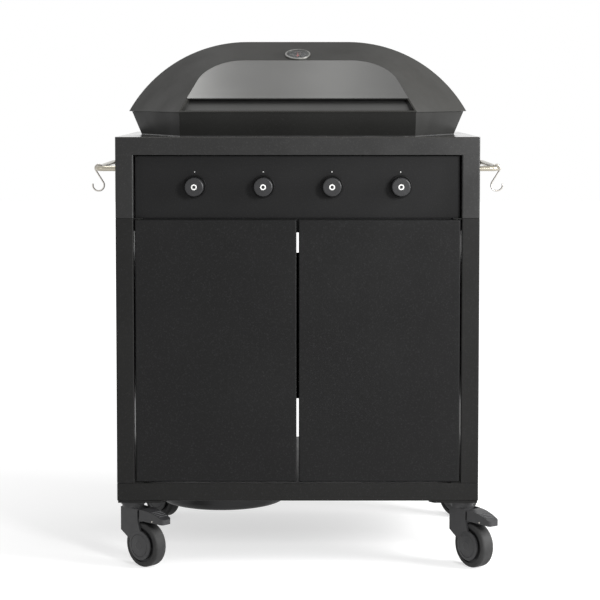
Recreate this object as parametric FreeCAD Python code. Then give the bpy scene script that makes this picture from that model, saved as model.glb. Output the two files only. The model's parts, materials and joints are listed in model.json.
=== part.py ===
"""Gas grill on a cabinet cart, in millimetres.

While a piece is shaped, X runs to the right, Y runs back from the front plane of the frame and Z runs up from
the floor. Every piece is then moved by the same step, which puts the origin on the floor under the middle.
"""

import math
import os

import FreeCAD
import Part

V = FreeCAD.Vector

# Frame of square tube
frame_width = 810.0
frame_depth = 580.0
worktop_height = 966.0
rail_underside = 150.0
seam_drop = 181.0
tube_side = 40.0
tube_wall = 1.5
tube_edge = 3.0
rail_edge = 2.0
seam_chamfer = 0.8
worktop_sheet = 2.0
worktop_edge = 0.8

# Sheet metal of the cabinet
sheet = 1.5
flange = 15.0
floor_flange = 20.0
vent_low = 98.0
vent_drop = 74.0
vent_high = 51.0
cross_rail_side = 30.0
cross_rail_gap = 4.0

# Gas bottle dish
dish_bore = 150.0
dish_drop = 55.0
dish_rim = 14.0
dish_bend = 14.0
dish_offset = 178.0

# Doors
door_gap = 3.0
door_centre_gap = 5.0
door_depth = 20.0
door_sheet = 1.2
door_lip = 14.0
door_bend = 3.0
pivot_inset = 8.0
pivot_setback = 6.0
pivot_radius = 3.0
pivot_reach = 10.0
pivot_plate = 2.0
catch_length = 40.0
catch_height = 14.0
catch_inset = 4.0

# Fits
running_fit = 0.05
face_gap = 0.3
hole_play = 0.2
cut_past = 1.0
same_place = 1e-3

# Control panel, valves and knobs
panel_recess = 20.0
panel_sheet = 2.0
panel_return = 20.0
panel_gap = 3.0
knob_pitch = 153.0
knob_count = 4
knob_rise = 70.0
knob_radius = 21.5
knob_taper = 0.8
knob_length = 28.0
knob_edge = 2.5
knob_push_room = 5.5
knob_bore_depth = 16.0
bezel_height = 7.0
bezel_width = 2.8
bezel_play = 1.2
bezel_edge = 1.0
stem_radius = 4.0
stem_hole_play = 1.5
valve_width = 26.0
valve_length = 36.0
valve_below = 15.0
valve_above = 27.0
valve_nose = 9.0
valve_nose_length = 8.0
valve_bore_spare = 8.0
spud_radius = 5.0
spud_length = 14.0
spud_rise = 14.0
manifold_radius = 10.0
manifold_wall = 1.5
manifold_sink = 4.0
manifold_overhang = 60.0
inlet_hex = 17.0
inlet_hex_length = 10.0
inlet_radius = 6.5
inlet_length = 16.0
inlet_bore = 4.0

# Side bars and hooks
bar_radius = 6.0
bar_standoff = 50.0
bar_drop = 74.0
bar_leg_inset = 100.0
bar_bend = 18.0
screw_radius = 3.0
screw_reach = 15.0
screw_head_radius = 5.5
screw_head = 3.0
hook_wire = 1.8
hook_place = 28.0
hook_loop = 13.0
hook_lean = 32.0
hook_stem = 33.0
hook_grip = 18.0
hook_sweep = 228.0

# Firebox and what lies in it
tub_half_width = 276.0
tub_front = 88.0
tub_wall = 2.0
tub_over_tray = 12.2
tub_top_above = 37.0
tub_play = 2.0
grease_slot = (220.0, 40.0)
ledge = 8.0
grate_ledge_rise = 27.0
tent_over_burner = 36.0
burner_radius = 14.0
burner_wall = 1.0
burner_front = 72.0
port_radius = 1.3
port_count = 12
tent_half_width = 42.0
tent_rise = 34.0
tent_sheet = 1.5
grate_count = 3
grate_thickness = 10.0
grate_bar = 7.0
grate_slot = 11.0
grate_border = 12.0
grate_gap = 2.0

# Drip tray
tray_half_width = 250.0
tray_front = 100.0
tray_height = 21.0
tray_sheet = 1.2
tray_play = 0.8
runner_sheet = 1.5
runner_leg = 12.0
runner_front = 42.0
finger_slot = (90.0, 9.0)

# Collar under the lid
collar_height = 54.0
collar_front_half = 264.0
collar_top_inset = 28.0
collar_bottom_inset = 50.0
collar_top_tip = 392.0
collar_bottom_tip = 370.0
collar_sheet = 2.0
collar_lip = 10.0

# Lid
lid_gap = 0.4
lid_height = 163.0
lid_sheet = 2.0
lid_front_inset = 25.0
ridge_flat = 119.0
ridge_radius = 322.0
ridge_split = 0.53
arch_slope = 37.0
arch_length = 195.0
arch_flat = 122.0
arch_radius = 112.0
arch_foot = 266.0
front_panel_low = 50.0
front_panel_pocket = 3.0
front_panel_proud = 0.8
front_panel_gap = 0.6
grip_low = 6.0
grip_high = 58.0
grip_margin = 4.0
grip_depth_low = 35.0
grip_depth_high = 12.0
grip_sheet = 1.2

# Lid hinges
hinge_place = 200.0
hinge_from_rear = 14.0
hinge_axis_rise = 46.0
hinge_pin = 4.0
hinge_ear = 6.0
hinge_ear_radius = 9.0
hinge_head_radius = 6.5
hinge_head = 2.5
hinge_foot_half = 20.0
hinge_foot_depth = 12.0
hinge_foot_thick = 4.0
hinge_arm_length = 60.0
hinge_arm_width = 12.0

# Thermometer
gauge_from_panel = 35.0
gauge_radius = 29.5
gauge_height = 3.5
gauge_bezel = 3.5
gauge_edge = 1.5
gauge_glass = 1.6
gauge_glass_sink = 0.6
gauge_glass_seat = 1.4
gauge_dial_depth = 7.0
gauge_cup_wall = 1.5
gauge_probe = 4.0
gauge_probe_length = 55.0
gauge_pivot = 1.0
needle_hub = 3.0
needle_length = 19.0
needle_tail = 7.0
needle_width = 1.4
needle_thick = 1.0
needle_lift = 1.2

# Casters
caster_inset_x = 33.0
caster_inset_y = 38.0
caster_plate = 110.0
caster_plate_thick = 5.0
caster_plate_inset = 2.0
caster_plate_corner = 12.0
caster_trail = 42.0
caster_angle = 42.0
right_caster_angle = 54.0
swivel_pin = 6.0
collar_radius = 28.0
collar_thick = 14.0
race_radius = 25.0
race_thick = 7.0
wheel_radius = 50.0
wheel_width = 32.0
tyre_thick = 11.0
tyre_round = 6.0
hub_radius = 15.0
wheel_web = 26.0
axle_radius = 4.0
axle_head = 8.0
axle_head_thick = 3.0
fork_play = 1.4
fork_cheek = 4.5
fork_boss = 15.0
fork_front = 36.0
fork_knee = 78.0
fork_crown_gap = 5.0
fork_reach = 18.0
pedal_pivot = 2.5
pedal_barrel = 6.0
pedal_tip = 109.0
pedal_half_width = 14.0
pedal_root_half = 20.0
pedal_root = 40.0
pedal_thick = 11.0
pedal_under = 6.0
pedal_room = 1.0
pedal_fall = 16.0
pedal_round = 7.0
pedal_rib = 1.2
pedal_ribs = 4

# Places worked out from the sizes above
half_width = frame_width / 2
inner_half = half_width - tube_side
middle = frame_depth / 2
rail_top = rail_underside + tube_side
top_bar_bottom = worktop_height - tube_side
seam_height = worktop_height - seam_drop
vent_high_top = seam_height - vent_drop
knob_axis = seam_height + knob_rise
burner_axis = knob_axis + spud_rise
bar_x = half_width + bar_standoff
bar_z = worktop_height - bar_drop
bar_legs = (bar_leg_inset, frame_depth - bar_leg_inset)
knob_places = [(i - (knob_count - 1) / 2) * knob_pitch for i in range(knob_count)]
collar_bottom = worktop_height + sheet
collar_top = worktop_height + collar_height
lid_rim = collar_top + lid_gap
tray_bottom = seam_height + runner_sheet + face_gap
tub_floor = tray_bottom + tray_height + tub_over_tray
tub_top = worktop_height + tub_top_above
tub_rear = frame_depth - tub_front
grate_seat = worktop_height + grate_ledge_rise
tent_seat = burner_axis + tent_over_burner
door_pivot = (inner_half - door_gap - pivot_inset, pivot_setback)
knob_back = panel_recess - knob_push_room
stem_front = knob_back - knob_bore_depth + face_gap
stem_rear = panel_recess + panel_sheet + valve_nose_length + valve_length / 2
manifold_y = panel_recess + panel_sheet + valve_nose_length + valve_length / 2
manifold_z = knob_axis - valve_below - manifold_radius + manifold_sink
plate_underside = rail_underside - caster_plate_thick
fork_top = plate_underside - face_gap
pedal_hinge = V(fork_front - pedal_barrel, 0, fork_top - collar_thick - 2 * pedal_barrel)
hinge_axis = V(0, frame_depth - hinge_from_rear, worktop_height + hinge_axis_rise)
gauge_cup = gauge_radius - gauge_bezel - gauge_glass_seat + gauge_cup_wall
pedal_turn = math.radians(max(caster_angle, right_caster_angle))
pedal_taper = (pedal_root_half - pedal_half_width) / (pedal_tip - pedal_root)
pedal_corner_in = pedal_round * (math.hypot(1, pedal_taper) - pedal_taper)
pedal_corner = (pedal_tip - pedal_round, pedal_half_width - pedal_corner_in)
pedal_reach = pedal_corner[0] * math.sin(pedal_turn) + pedal_corner[1] * math.cos(pedal_turn)
pedal_reach += pedal_round
front_reach = max(0.0, pedal_reach - caster_inset_y)
to_origin = V(0, (front_reach - frame_depth) / 2, 0)


def block(x, y, z):
    """Box between three pairs of limits."""
    return Part.makeBox(x[1] - x[0], y[1] - y[0], z[1] - z[0], V(x[0], y[0], z[0]))


def rod(start, end, radius):
    """Round bar from one point to another."""
    axis = end.sub(start)
    return Part.makeCylinder(radius, axis.Length, start, axis)


def prism(points, along):
    """Closed outline of points, drawn out along a vector."""
    return Part.Face(Part.makePolygon(points + points[:1])).extrude(along)


def mirrored(shape):
    """The same piece on the other side of the middle."""
    return shape.mirror(V(0, 0, 0), V(1, 0, 0))


def fuse(first, *others):
    """One solid from several that touch, without the seams between level faces."""
    return first.multiFuse(list(others)).removeSplitter()


def edges_along(shape, direction):
    """Straight edges that run along a direction."""
    found = []
    for edge in shape.Edges:
        ends = edge.Vertexes
        run = ends[-1].Point.sub(ends[0].Point)
        if len(ends) == 2 and run.Length - abs(run.dot(direction)) < same_place:
            found.append(edge)
    return found


def edges_at(shape, axis, place):
    """Edges that lie in one plane across an axis, given as X, Y or Z."""
    found = []
    for edge in shape.Edges:
        box = edge.BoundBox
        low, high = getattr(box, axis + "Min"), getattr(box, axis + "Max")
        if abs(low - place) < same_place and abs(high - place) < same_place:
            found.append(edge)
    return found


def keep(name, *solids):
    """Write one node, moved to the shared origin."""
    shape = solids[0] if len(solids) == 1 else Part.makeCompound(list(solids))
    shape = shape.copy()
    shape.translate(to_origin)
    shape.exportStep("parts/" + name + ".step")


def rail_ring(bottom, top, level_edges):
    """Four tubes with mitred ends that close a rectangle, as separate solids."""
    outer = block((-half_width, half_width), (0, frame_depth), (bottom, top))
    outer = outer.makeFillet(tube_edge, edges_along(outer, V(0, 0, 1)))
    if level_edges:
        outer = outer.makeFillet(rail_edge, edges_at(outer, "Z", bottom) + edges_at(outer, "Z", top))
    opening = block((-inner_half, inner_half), (tube_side, frame_depth - tube_side), (bottom, top))
    near, far = tube_wall, tube_side - tube_wall
    bore_height = (bottom + tube_wall, top - tube_wall)
    bore = block((near - half_width, half_width - near), (near, frame_depth - near), bore_height)
    bore = bore.cut(block((far - half_width, half_width - far), (far, frame_depth - far), bore_height))
    ring = outer.cut(opening).cut(bore)
    front = [V(-half_width, 0, bottom), V(half_width, 0, bottom), V(inner_half, tube_side, bottom)]
    front.append(V(-inner_half, tube_side, bottom))
    right = [V(half_width, 0, bottom), V(half_width, frame_depth, bottom)]
    right += [V(inner_half, frame_depth - tube_side, bottom), V(inner_half, tube_side, bottom)]
    front_cut = prism(front, V(0, 0, top - bottom))
    right_cut = prism(right, V(0, 0, top - bottom))
    rear_cut = front_cut.mirror(V(0, middle, 0), V(0, 1, 0))
    cuts = (front_cut, rear_cut, right_cut, mirrored(right_cut))
    return [ring.common(cut).Solids[0] for cut in cuts]


def posts(bottom, top, chamfered):
    """Four corner tubes, with a small chamfer at the ends that show a seam."""
    made = []
    for x in (-half_width, inner_half):
        for y in (0, frame_depth - tube_side):
            post = block((x, x + tube_side), (y, y + tube_side), (bottom, top))
            post = post.makeFillet(tube_edge, edges_along(post, V(0, 0, 1)))
            for end in chamfered:
                post = post.makeChamfer(seam_chamfer, edges_at(post, "Z", end))
            bore_x = (x + tube_wall, x + tube_side - tube_wall)
            bore_y = (y + tube_wall, y + tube_side - tube_wall)
            made.append(post.cut(block(bore_x, bore_y, (bottom, top))))
    return made


def worktop():
    """Flat plate that closes the top, with a cut-out for the firebox tub."""
    top = (worktop_height - worktop_sheet, worktop_height)
    plate = block((-half_width, half_width), (0, frame_depth), top)
    plate = plate.makeFillet(tube_edge, edges_along(plate, V(0, 0, 1)))
    plate = plate.makeFillet(worktop_edge, edges_at(plate, "Z", worktop_height))
    across = tub_half_width + tub_play
    return plate.cut(block((-across, across), (tub_front - tub_play, tub_rear + tub_play), top))


def cabinet_floor():
    """Shallow pan between the bottom rails, with a hole for the bottle dish."""
    inside = (tube_side, frame_depth - tube_side)
    pan = block((-inner_half, inner_half), inside, (rail_top - floor_flange, rail_top))
    under_x = (sheet - inner_half, inner_half - sheet)
    under_y = (inside[0] + sheet, inside[1] - sheet)
    pan = pan.cut(block(under_x, under_y, (rail_top - floor_flange, rail_top - sheet)))
    hole = dish_bore + sheet + hole_play
    return pan.cut(Part.makeCylinder(hole, floor_flange, V(-dish_offset, middle, rail_top - floor_flange)))


def bottle_dish():
    """Deep round dish whose rim lies on the cabinet floor."""
    bottom = rail_underside - dish_drop
    height = rail_top + sheet - bottom
    at = V(-dish_offset, middle, bottom)
    outer = Part.makeCylinder(dish_bore + sheet, height, at)
    outer = outer.makeFillet(dish_bend, edges_at(outer, "Z", bottom))
    inner = Part.makeCylinder(dish_bore, height, at + V(0, 0, sheet))
    inner = inner.makeFillet(dish_bend - sheet, edges_at(inner, "Z", bottom + sheet))
    rim = Part.makeCylinder(dish_bore + sheet + dish_rim, sheet, V(-dish_offset, middle, rail_top))
    return outer.fuse(rim).removeSplitter().cut(inner)


def side_panel():
    """Right-hand side sheet between the posts, with a bent flange against each post."""
    height = (rail_top, top_bar_bottom)
    run = (tube_side, frame_depth - tube_side)
    skin = block((half_width - sheet, half_width), run, height)
    returns = (half_width - flange, half_width)
    front = block(returns, (run[0], run[0] + sheet), height)
    rear = block(returns, (run[1] - sheet, run[1]), height)
    panel = fuse(skin, front, rear)
    for y in bar_legs:
        start = V(half_width - flange, y, bar_z)
        panel = panel.cut(rod(start, V(half_width, y, bar_z), screw_radius + hole_play))
    return panel


def rear_sheet(height):
    """Sheet between the rear posts, level with their backs, with a bent flange against each post."""
    skin = block((-inner_half, inner_half), (frame_depth - sheet, frame_depth), height)
    side = block((inner_half - sheet, inner_half), (frame_depth - flange, frame_depth), height)
    return fuse(skin, side, mirrored(side))


def rear_apron():
    """Upper rear sheet, with a slot that the drip tray slides through."""
    across = tray_half_width + tray_play
    low = tray_bottom - tray_play
    slot_height = (low, tray_bottom + tray_height + tray_play)
    slot = block((-across, across), (frame_depth - flange, frame_depth), slot_height)
    return rear_sheet((vent_high_top, top_bar_bottom)).cut(slot)


def control_panel():
    """Sheet pan set back between the upper posts, bent back all round and standing on the cross rail."""
    back = panel_recess + panel_sheet
    half, top = inner_half - panel_gap, top_bar_bottom - panel_gap
    panel = block((-half, half), (panel_recess, panel_recess + panel_return), (seam_height, top))
    room_x = (panel_sheet - half, half - panel_sheet)
    room_z = (seam_height + panel_sheet, top - panel_sheet)
    panel = panel.cut(block(room_x, (back, panel_recess + panel_return), room_z))
    for x in knob_places:
        hole = rod(V(x, panel_recess, knob_axis), V(x, back, knob_axis), stem_radius + stem_hole_play)
        panel = panel.cut(hole)
    return panel


def cross_rail():
    """Square tube between the front posts, behind the tops of the doors."""
    front = door_depth + cross_rail_gap
    run = (front, front + cross_rail_side)
    height = (seam_height - cross_rail_side, seam_height)
    bar = block((-inner_half, inner_half), run, height)
    bore_run = (run[0] + sheet, run[1] - sheet)
    bore_height = (height[0] + sheet, height[1] - sheet)
    return bar.cut(block((-inner_half, inner_half), bore_run, bore_height))


def right_door():
    """Folded sheet pan with bent front edges, an inner lip and a pivot hole above and below."""
    x, y = (door_centre_gap / 2, inner_half - door_gap), (0, door_depth)
    z = (rail_top + door_gap, seam_height - door_gap)
    pan = block(x, y, z)
    pan = pan.makeFillet(door_bend, edges_at(pan, "Y", 0))
    t, lip = door_sheet, door_lip
    pan = pan.cut(block((x[0] + t, x[1] - t), (t, door_depth - t), (z[0] + t, z[1] - t)))
    mouth = (door_depth - t, door_depth)
    pan = pan.cut(block((x[0] + lip, x[1] - lip), mouth, (z[0] + lip, z[1] - lip)))
    pivot = Part.makeCylinder(pivot_radius + running_fit, z[1] - z[0], V(*door_pivot, z[0]))
    return pan.cut(pivot)


def right_pivots():
    """Upper and lower pivot plate of the right door, each with its pin."""
    x = (door_pivot[0] - pivot_inset, inner_half)
    y = (pivot_setback - pivot_radius, door_depth)
    low = block(x, y, (rail_top, rail_top + pivot_plate))
    low_pin = Part.makeCylinder(pivot_radius, door_gap + pivot_reach, V(*door_pivot, rail_top))
    high = block(x, y, (seam_height - pivot_plate, seam_height))
    pin_foot = V(*door_pivot, seam_height - door_gap - pivot_reach)
    high_pin = Part.makeCylinder(pivot_radius, door_gap + pivot_reach, pin_foot)
    return [fuse(low, low_pin), fuse(high, high_pin)]


def right_catch():
    """Magnet block under the cross rail, just behind the door's lip."""
    x = (catch_inset, catch_inset + catch_length)
    top = seam_height - cross_rail_side
    y = (door_depth + face_gap, door_depth + cross_rail_gap + cross_rail_side / 2)
    return block(x, y, (top - catch_height, top))


def side_bar():
    """Right-hand bar bent from round rod, with a tapped hole in the end of each leg."""
    near, far = bar_legs
    knee = bar_x - bar_bend
    corner = bar_bend * math.sqrt(0.5)
    path = [
        Part.LineSegment(V(half_width, near, bar_z), V(knee, near, bar_z)),
        Part.Arc(
            V(knee, near, bar_z),
            V(knee + corner, near + bar_bend - corner, bar_z),
            V(bar_x, near + bar_bend, bar_z),
        ),
        Part.LineSegment(V(bar_x, near + bar_bend, bar_z), V(bar_x, far - bar_bend, bar_z)),
        Part.Arc(
            V(bar_x, far - bar_bend, bar_z),
            V(knee + corner, far - bar_bend + corner, bar_z),
            V(knee, far, bar_z),
        ),
        Part.LineSegment(V(knee, far, bar_z), V(half_width, far, bar_z)),
    ]
    section = Part.Wire(Part.makeCircle(bar_radius, V(half_width, near, bar_z), V(1, 0, 0)))
    bar = swept(path, section)
    for y in bar_legs:
        end = V(half_width + screw_reach + cut_past, y, bar_z)
        bar = bar.cut(rod(V(half_width, y, bar_z), end, screw_radius + running_fit))
    return bar


def swept(path, section):
    """Solid of one section carried along lines and arcs."""
    wire = Part.Wire([piece.toShape() for piece in path])
    return Part.Solid(wire.makePipeShell([section], True, False))


def bar_screws():
    """Pan screws that hold the right-hand bar from inside the side panel."""
    made = []
    inside = half_width - sheet
    for y in bar_legs:
        shank = rod(V(inside, y, bar_z), V(half_width + screw_reach, y, bar_z), screw_radius)
        head = rod(V(inside - screw_head, y, bar_z), V(inside, y, bar_z), screw_head_radius)
        made.append(fuse(head, shank))
    return made


def hook():
    """Wire hook on the right-hand bar: a loop over the bar, a leaning stem and an open loop below."""
    y = bar_legs[0] + hook_place
    hug = bar_radius + face_gap + hook_wire

    def on_bar(angle):
        return V(bar_x + hug * math.cos(angle), y, bar_z + hug * math.sin(angle))

    lean, grip = math.radians(hook_lean), math.radians(hook_grip)
    start, leave = on_bar(math.pi + grip), on_bar(-lean)
    foot = leave + V(-math.sin(lean), 0, -math.cos(lean)) * hook_stem
    centre = foot + V(math.cos(lean), 0, -math.sin(lean)) * hook_loop

    def on_loop(share):
        angle = math.pi - lean + math.radians(hook_sweep) * share
        return centre + V(math.cos(angle), 0, math.sin(angle)) * hook_loop

    path = [
        Part.Arc(start, on_bar(math.pi / 2), leave),
        Part.LineSegment(leave, foot),
        Part.Arc(foot, on_loop(0.5), on_loop(1)),
    ]
    heading = on_bar(math.pi / 2 + grip).sub(V(bar_x, y, bar_z))
    section = Part.Wire(Part.makeCircle(hook_wire, start, heading))
    return swept(path, section)


def hexagon(front_half, front_inset, tip, height, inset=0.0):
    """Level outline with a flat front and back and a point at each side, drawn in by an inset."""
    rise = middle - front_inset
    spread = tip - front_half
    shift = inset * math.hypot(rise, spread) / rise
    front = front_inset + inset
    half = front_half + spread * inset / rise - shift
    tip = tip - shift
    corners = [(-half, front), (half, front), (tip, middle)]
    corners += [(half, frame_depth - front), (-half, frame_depth - front), (-tip, middle)]
    return [V(x, y, height) for x, y in corners]


def collar():
    """Six-sided sheet collar that widens towards the lid, with a lip turned in along its top."""

    def flare(inset):
        low = hexagon(collar_front_half, collar_bottom_inset, collar_bottom_tip, collar_bottom, inset)
        high = hexagon(collar_front_half, collar_top_inset, collar_top_tip, collar_top, inset)
        wires = [Part.makePolygon(points + points[:1]) for points in (low, high)]
        return Part.makeLoft(wires, True, True)

    wall = flare(0).cut(flare(collar_sheet))
    lip_height = collar_top - collar_sheet
    lip = hexagon(collar_front_half, collar_top_inset, collar_top_tip, lip_height, collar_sheet)
    hole_inset = collar_sheet + collar_lip
    hole = hexagon(collar_front_half, collar_top_inset, collar_top_tip, lip_height, hole_inset)
    up = V(0, 0, collar_sheet)
    return fuse(wall, prism(lip, up).cut(prism(hole, up)))


def firebox():
    """Deep tub with a six-sided flange on the worktop, ledges inside and holes for the burners."""
    across = (-tub_half_width, tub_half_width)
    depth = (tub_front, tub_rear)
    tub = block(across, depth, (tub_floor, tub_top))
    base = hexagon(collar_front_half, collar_bottom_inset, collar_bottom_tip, worktop_height)
    tub = fuse(tub, prism(base, V(0, 0, sheet)))
    inner_x = (across[0] + tub_wall, across[1] - tub_wall)
    inner_y = (depth[0] + tub_wall, depth[1] - tub_wall)
    tub = tub.cut(block(inner_x, inner_y, (tub_floor + tub_wall, tub_top)))
    ledges = []
    for top in (grate_seat, tent_seat):
        ledges.append(block(inner_x, (inner_y[0], inner_y[0] + ledge), (top - ledge, top)))
        ledges.append(block(inner_x, (inner_y[1] - ledge, inner_y[1]), (top - ledge, top)))
    tub = fuse(tub, *ledges)
    for x in knob_places:
        mouth = rod(V(x, tub_front, burner_axis), V(x, inner_y[0], burner_axis), burner_radius + running_fit)
        tub = tub.cut(mouth)
    length, width = grease_slot
    slot_y = (middle - width / 2, middle + width / 2)
    return tub.cut(block((-length / 2, length / 2), slot_y, (tub_floor, tub_floor + tub_wall)))


def burner(x):
    """Tube with a closed far end and a row of gas ports along each side."""
    far = tub_rear - tub_wall
    start, end = V(x, burner_front, burner_axis), V(x, far, burner_axis)
    tube = rod(start, end, burner_radius)
    tube = tube.cut(rod(start, end - V(0, burner_wall, 0), burner_radius - burner_wall))
    first = tub_front + tub_wall + 2 * ledge
    step = (far - 2 * ledge - first) / (port_count - 1)
    ports = []
    for i in range(port_count):
        y = first + i * step
        left = V(x - burner_radius, y, burner_axis)
        ports.append(rod(left, V(x + burner_radius, y, burner_axis), port_radius))
    return tube.cut(Part.makeCompound(ports))


def heat_tent(x):
    """Sheet bent to a roof above one burner, resting on the tub's ledges."""
    y = tub_front + tub_wall + face_gap
    length = tub_rear - tub_wall - face_gap - y
    low, high = tent_seat, tent_seat + tent_rise
    thick = tent_sheet * math.hypot(tent_half_width, tent_rise) / tent_half_width
    foot = tent_sheet * math.hypot(tent_half_width, tent_rise) / tent_rise
    outline = [
        V(x - tent_half_width, y, low),
        V(x, y, high),
        V(x + tent_half_width, y, low),
        V(x + tent_half_width - foot, y, low),
        V(x, y, high - thick),
        V(x - tent_half_width + foot, y, low),
    ]
    return prism(outline, V(0, length, 0))


def grates():
    """Cast grates side by side on the tub's upper ledges."""
    span = 2 * (tub_half_width - tub_wall) - grate_gap * (grate_count + 1)
    width = span / grate_count
    y = (tub_front + tub_wall + grate_gap, tub_rear - tub_wall - grate_gap)
    z = (grate_seat, grate_seat + grate_thickness)
    made = []
    for i in range(grate_count):
        left = -tub_half_width + tub_wall + grate_gap + i * (width + grate_gap)
        plate = block((left, left + width), y, z)
        room = width - 2 * grate_border
        slots = int((room + grate_bar) // (grate_slot + grate_bar))
        slot = (room - (slots - 1) * grate_bar) / slots
        cuts = []
        for n in range(slots):
            x = left + grate_border + n * (slot + grate_bar)
            front_run = (y[0] + grate_border, middle - grate_bar / 2)
            rear_run = (middle + grate_bar / 2, y[1] - grate_border)
            for run in (front_run, rear_run):
                cuts.append(block((x, x + slot), run, z))
        made.append(plate.cut(Part.makeCompound(cuts)))
    return made


def manifold():
    """Gas pipe under the four valves, closed at its right-hand end."""
    start = V(knob_places[0] - manifold_overhang, manifold_y, manifold_z)
    end = V(knob_places[-1] + manifold_overhang, manifold_y, manifold_z)
    pipe = rod(start, end, manifold_radius)
    return pipe.cut(rod(start, end - V(manifold_wall, 0, 0), manifold_radius - manifold_wall))


def inlet_fitting():
    """Hexagon nipple on the open end of the gas pipe, for the hose."""
    start = V(knob_places[0] - manifold_overhang, manifold_y, manifold_z)
    corner = inlet_hex / math.sqrt(3)
    outline = []
    for i in range(6):
        angle = math.radians(60 * i)
        outline.append(start + V(0, corner * math.cos(angle), corner * math.sin(angle)))
    nut = prism(outline, V(-inlet_hex_length, 0, 0))
    shoulder = start - V(inlet_hex_length, 0, 0)
    end = shoulder - V(inlet_length, 0, 0)
    return fuse(nut, rod(shoulder, end, inlet_radius)).cut(rod(start, end, inlet_bore))


def valve(x):
    """Valve body that sits on the gas pipe, with a nose behind the panel and a gas jet at the back."""
    front = panel_recess + panel_sheet + valve_nose_length
    rear = front + valve_length
    height = (knob_axis - valve_below, knob_axis + valve_above)
    body = block((x - valve_width / 2, x + valve_width / 2), (front, rear), height)
    nose = rod(V(x, front - valve_nose_length, knob_axis), V(x, front, knob_axis), valve_nose)
    jet = rod(V(x, rear, burner_axis), V(x, rear + spud_length, burner_axis), spud_radius)
    body = fuse(body, nose, jet)
    saddle_start = V(x - valve_width, manifold_y, manifold_z)
    saddle_end = V(x + valve_width, manifold_y, manifold_z)
    body = body.cut(rod(saddle_start, saddle_end, manifold_radius + running_fit))
    bore_end = stem_rear + valve_bore_spare
    nose_tip = V(x, front - valve_nose_length, knob_axis)
    bore = rod(nose_tip, V(x, bore_end, knob_axis), stem_radius + running_fit)
    return body.cut(bore)


def valve_stem(x):
    """Round stem that slides in the valve and carries the knob."""
    return rod(V(x, stem_front, knob_axis), V(x, stem_rear, knob_axis), stem_radius)


def knob(x):
    """Tapered knob with a rounded face, bored for its stem."""
    tip = knob_back - knob_length
    back = V(x, knob_back, knob_axis)
    body = Part.makeCone(knob_radius, knob_radius - knob_taper, knob_length, back, V(0, -1, 0))
    body = body.makeFillet(knob_edge, edges_at(body, "Y", tip))
    bore_end = V(x, knob_back - knob_bore_depth, knob_axis)
    return body.cut(rod(V(x, knob_back, knob_axis), bore_end, stem_radius + running_fit))


def bezel(x):
    """Raised ring on the panel around one knob."""
    foot, top = V(x, panel_recess, knob_axis), V(x, panel_recess - bezel_height, knob_axis)
    inner = knob_radius + bezel_play
    ring = rod(foot, top, inner + bezel_width)
    ring = ring.makeFillet(bezel_edge, edges_at(ring, "Y", panel_recess - bezel_height))
    return ring.cut(rod(foot, top, inner))


def drip_tray():
    """Open sheet tray on two runners, with a finger slot in its rear wall."""
    x, y = (-tray_half_width, tray_half_width), (tray_front, frame_depth)
    z = (tray_bottom, tray_bottom + tray_height)
    t = tray_sheet
    tray = block(x, y, z).cut(block((x[0] + t, x[1] - t), (y[0] + t, y[1] - t), (z[0] + t, z[1])))
    length, width = finger_slot
    centre = tray_bottom + tray_height / 2
    slot_height = (centre - width / 2, centre + width / 2)
    return tray.cut(block((-length / 2, length / 2), (y[1] - t, y[1]), slot_height))


def tray_runner():
    """Right-hand angle that the drip tray slides on, from the cross rail to the rear apron."""
    run = (runner_front, frame_depth - sheet)
    wall = tray_half_width + tray_play
    base = block((wall - runner_leg, wall + runner_sheet), run, (seam_height, seam_height + runner_sheet))
    side = block((wall, wall + runner_sheet), run, (seam_height, seam_height + runner_leg))
    return fuse(base, side)


def arch_point(x, up, sunk=0.0):
    """Point on the lid's leaning front face, measured across it, up it and into it."""
    slope = math.radians(arch_slope)
    y = lid_front_inset + up * math.cos(slope) + sunk * math.sin(slope)
    z = lid_rim + up * math.sin(slope) - sunk * math.cos(slope)
    return V(x, y, z)


def arch_tangent():
    """Angle at which the arch's round shoulder runs into its straight leg."""
    across = arch_foot - arch_flat
    drop = arch_length - arch_radius
    return math.acos(arch_radius / math.hypot(across, drop)) - math.atan2(drop, across)


def arch_half(up):
    """Half the width of the arch's straight part, so far up the leaning face."""
    return arch_foot - up * math.tan(arch_tangent())


def arch_wire(inset, sunk, drop):
    """Outline of the leaning front face, drawn in, sunk and carried below the lid's rim."""
    slope, turn = math.radians(arch_slope), arch_tangent()
    radius = arch_radius - inset
    centre_up = arch_length - arch_radius
    low = (sunk * math.cos(slope) - drop) / math.sin(slope)

    def shoulder(angle):
        return arch_flat + radius * math.cos(angle), centre_up + radius * math.sin(angle)

    leg_x, leg_up = shoulder(turn)
    foot = (leg_x + (leg_up - low) * math.tan(turn), low)
    half = [foot, (leg_x, leg_up), shoulder((turn + math.pi / 2) / 2), shoulder(math.pi / 2)]
    right = [arch_point(x, up, sunk) for x, up in half]
    left = [arch_point(-x, up, sunk) for x, up in half]
    edges = [
        Part.LineSegment(right[0], right[1]),
        Part.Arc(right[1], right[2], right[3]),
        Part.LineSegment(right[3], left[3]),
        Part.Arc(left[3], left[2], left[1]),
        Part.LineSegment(left[1], left[0]),
        Part.LineSegment(left[0], right[0]),
    ]
    return Part.Wire([edge.toShape() for edge in edges])


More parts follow.
